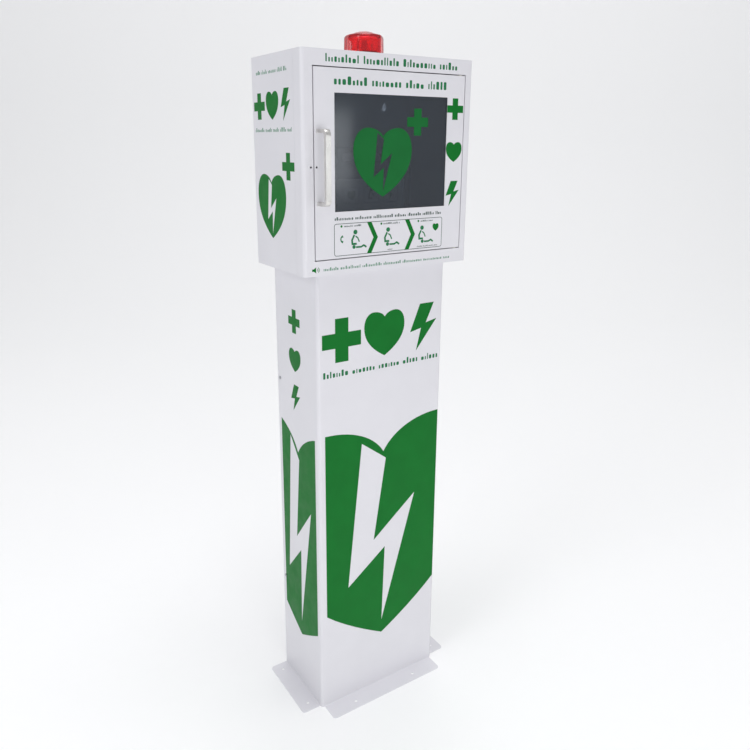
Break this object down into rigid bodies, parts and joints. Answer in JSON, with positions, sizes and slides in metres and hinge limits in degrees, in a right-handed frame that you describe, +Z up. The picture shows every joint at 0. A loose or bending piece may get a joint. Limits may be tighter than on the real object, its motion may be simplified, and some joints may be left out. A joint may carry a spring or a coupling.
{
  "type": "defibrillator station",
  "caption": "Floor-standing steel defibrillator station: glazed-door cabinet with red beacon on a folded column, door hinged at the right, defibrillator on a shelf inside.",
  "frame": {"origin": "bottom centre of the box around the whole station, on the floor", "axes": "+Z up, the door faces -Y, +X to the right of somebody facing the door"},
  "size_m": [0.414, 0.2466, 1.502],
  "materials": {
    "white_paint": "satin powder coat, fine orange peel",
    "zinc": "zinc plated",
    "satin_nickel": "satin",
    "black_rubber": "matt foam or moulded rubber",
    "black_plastic": "fine grain",
    "case_grey": "fine grain",
    "case_front": "fine grain",
    "white_plastic": "satin",
    "smoked_glass": "smoked, clear",
    "red_lens": "clear red, fluted",
    "reflector": "bright",
    "board_green": "solder mask",
    "cell": "wrapped cell",
    "capacitor": "wrapped film capacitor",
    "led": "lamp board",
    "power_green": "satin",
    "shock_orange": "satin",
    "rocker_red": "gloss",
    "nylon": "natural nylon",
    "lamp_green": "clear"
  },
  "bodies": {
    "station": {"column_shell": "white_paint", "column_rear_panel": "white_paint", "rear_panel_screws": "zinc", "column_top_plate": "white_paint", "cabinet_bolts": "zinc", "cabinet_washers": "zinc", "cabinet_nuts": "zinc", "cabinet_wrap": "white_paint", "cabinet_back_panel": "white_paint", "back_panel_rivets": "zinc", "front_frame": "white_paint", "door_gasket": "black_rubber", "hinge_brackets": "white_paint", "hinge_pins": "zinc", "catch_body": "black_plastic", "catch_magnets": "zinc", "door_sensor": "white_plastic", "sensor_cable": "black_rubber", "cable_clips": "nylon", "alarm_base": "white_plastic", "alarm_cover": "white_plastic", "alarm_cover_screws": "zinc", "alarm_board": "board_green", "alarm_batteries": "cell", "alarm_sounder": "black_plastic", "rocker_bezel": "black_plastic", "beacon_gasket": "black_rubber", "beacon_base": "black_plastic", "beacon_screws": "zinc", "beacon_nuts": "zinc", "beacon_reflector": "reflector", "beacon_leds": "led", "beacon_lens": "red_lens", "beacon_grommet": "black_rubber", "beacon_cable": "black_rubber", "aed_shelf": "white_paint", "shelf_rivets": "zinc"},
    "door": {"door_panel": "white_paint", "window_gasket": "black_rubber", "window_pane": "smoked_glass", "window_retainer": "white_paint", "retainer_nuts": "zinc", "door_handle": "satin_nickel", "handle_screws": "zinc", "hinge_bushes": "nylon", "strike_plate": "zinc", "sensor_magnet": "black_plastic"},
    "alarm_rocker": {"alarm_rocker": "rocker_red"},
    "aed": {"aed_back_case": "case_grey", "aed_seal": "black_rubber", "aed_front_case": "case_front", "aed_feet": "black_rubber", "aed_panel": "white_plastic", "aed_battery": "cell", "aed_capacitor": "capacitor", "aed_board": "board_green", "aed_speaker": "black_plastic", "aed_status_lamp": "lamp_green"},
    "power_button": {"aed_power_button": "power_green"},
    "shock_button": {"aed_shock_button": "shock_orange"}
  },
  "joints": [
    {"name": "door_hinge", "type": "hinge", "parent": "station", "child": "door", "pos_m": [0.169, -0.08325, 1.244], "axis": [0, 0, 1], "range_deg": [0, 120]},
    {"name": "rocker_tilt", "type": "hinge", "parent": "station", "child": "alarm_rocker", "pos_m": [-0.126, 0.02225, 1.415], "axis": [0, 1, 0], "range_deg": [0, 18]},
    {"name": "aed_lift", "type": "slide", "parent": "station", "child": "aed", "axis": [0, 0, 1], "range_m": [0, 0.05]},
    {"name": "power_press", "type": "slide", "parent": "aed", "child": "power_button", "axis": [0, 1, 0], "range_m": [0, 0.0025], "stiffness_N_per_m": 400},
    {"name": "shock_press", "type": "slide", "parent": "aed", "child": "shock_button", "axis": [0, 1, 0], "range_m": [0, 0.0025], "stiffness_N_per_m": 500}
  ]
}
